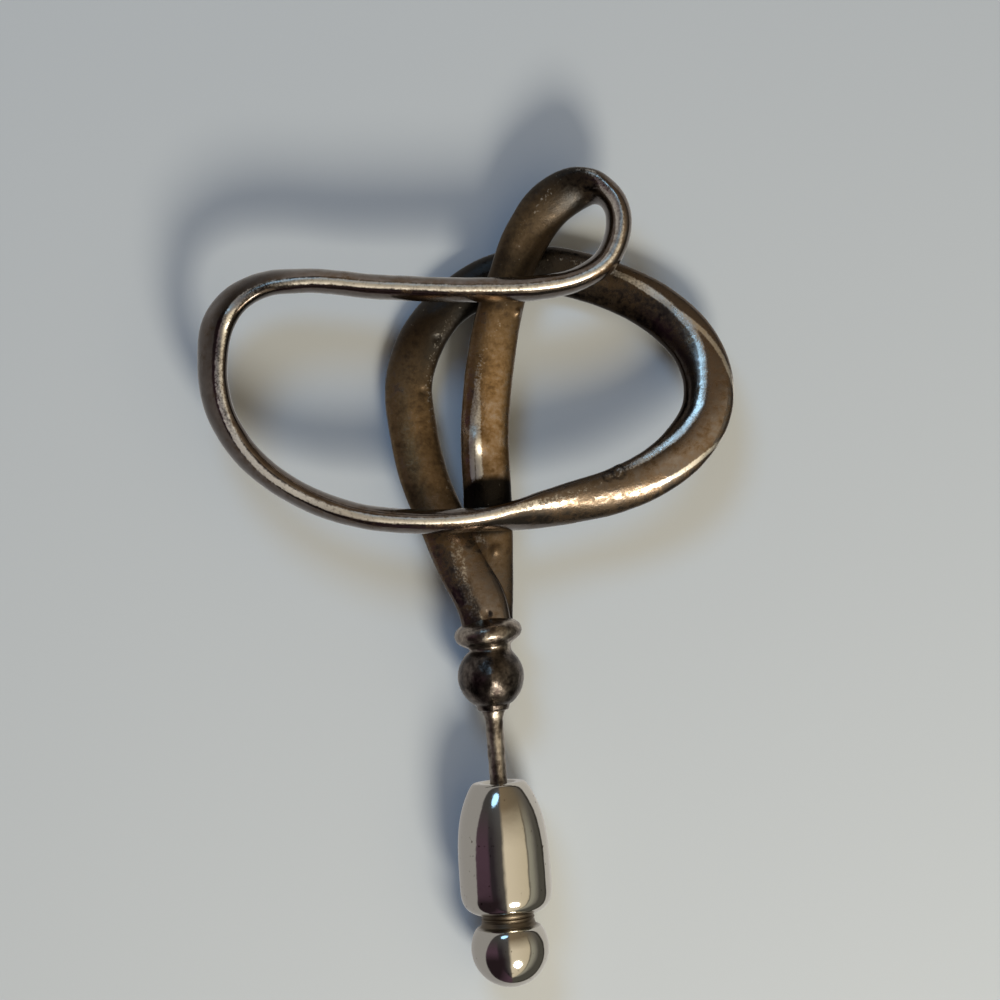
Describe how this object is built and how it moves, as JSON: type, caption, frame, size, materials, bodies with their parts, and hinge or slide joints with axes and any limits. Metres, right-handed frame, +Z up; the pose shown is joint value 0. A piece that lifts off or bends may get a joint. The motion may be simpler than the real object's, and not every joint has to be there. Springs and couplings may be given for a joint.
{
  "type": "flower stick pin with bullet clutch",
  "caption": "Silver stick pin whose one flattened band loops into an open flower above a turned neck, with a short pin wire held in a bullet-shaped clutch with a ball knob.",
  "frame": {"origin": "under the middle of the whole part's box, on the surface that the pin lies on", "axes": "+Y along the pin from the clutch to the flower's top, +X to the right as the picture shows it, +Z up from the surface"},
  "size_m": [0.0319, 0.0487, 0.0062],
  "materials": {
    "oxidised_silver": "cast silver, darkened brown in its hollows and rubbed bright along its crests",
    "bright_nickel": "bright nickel plate, smooth as a mirror"
  },
  "bodies": {
    "pin": {"flower": "oxidised_silver"},
    "clutch": {"clutch_barrel": "bright_nickel"},
    "knob": {"clutch_knob": "bright_nickel"}
  },
  "joints": [
    {"name": "clutch_slide", "type": "slide", "parent": "pin", "child": "clutch", "axis": [0, -1, 0], "range_m": [0, 0.012]},
    {"name": "knob_pull", "type": "slide", "parent": "clutch", "child": "knob", "axis": [0, -1, 0], "range_m": [0, 0.0008], "stiffness_N_per_m": 500}
  ]
}
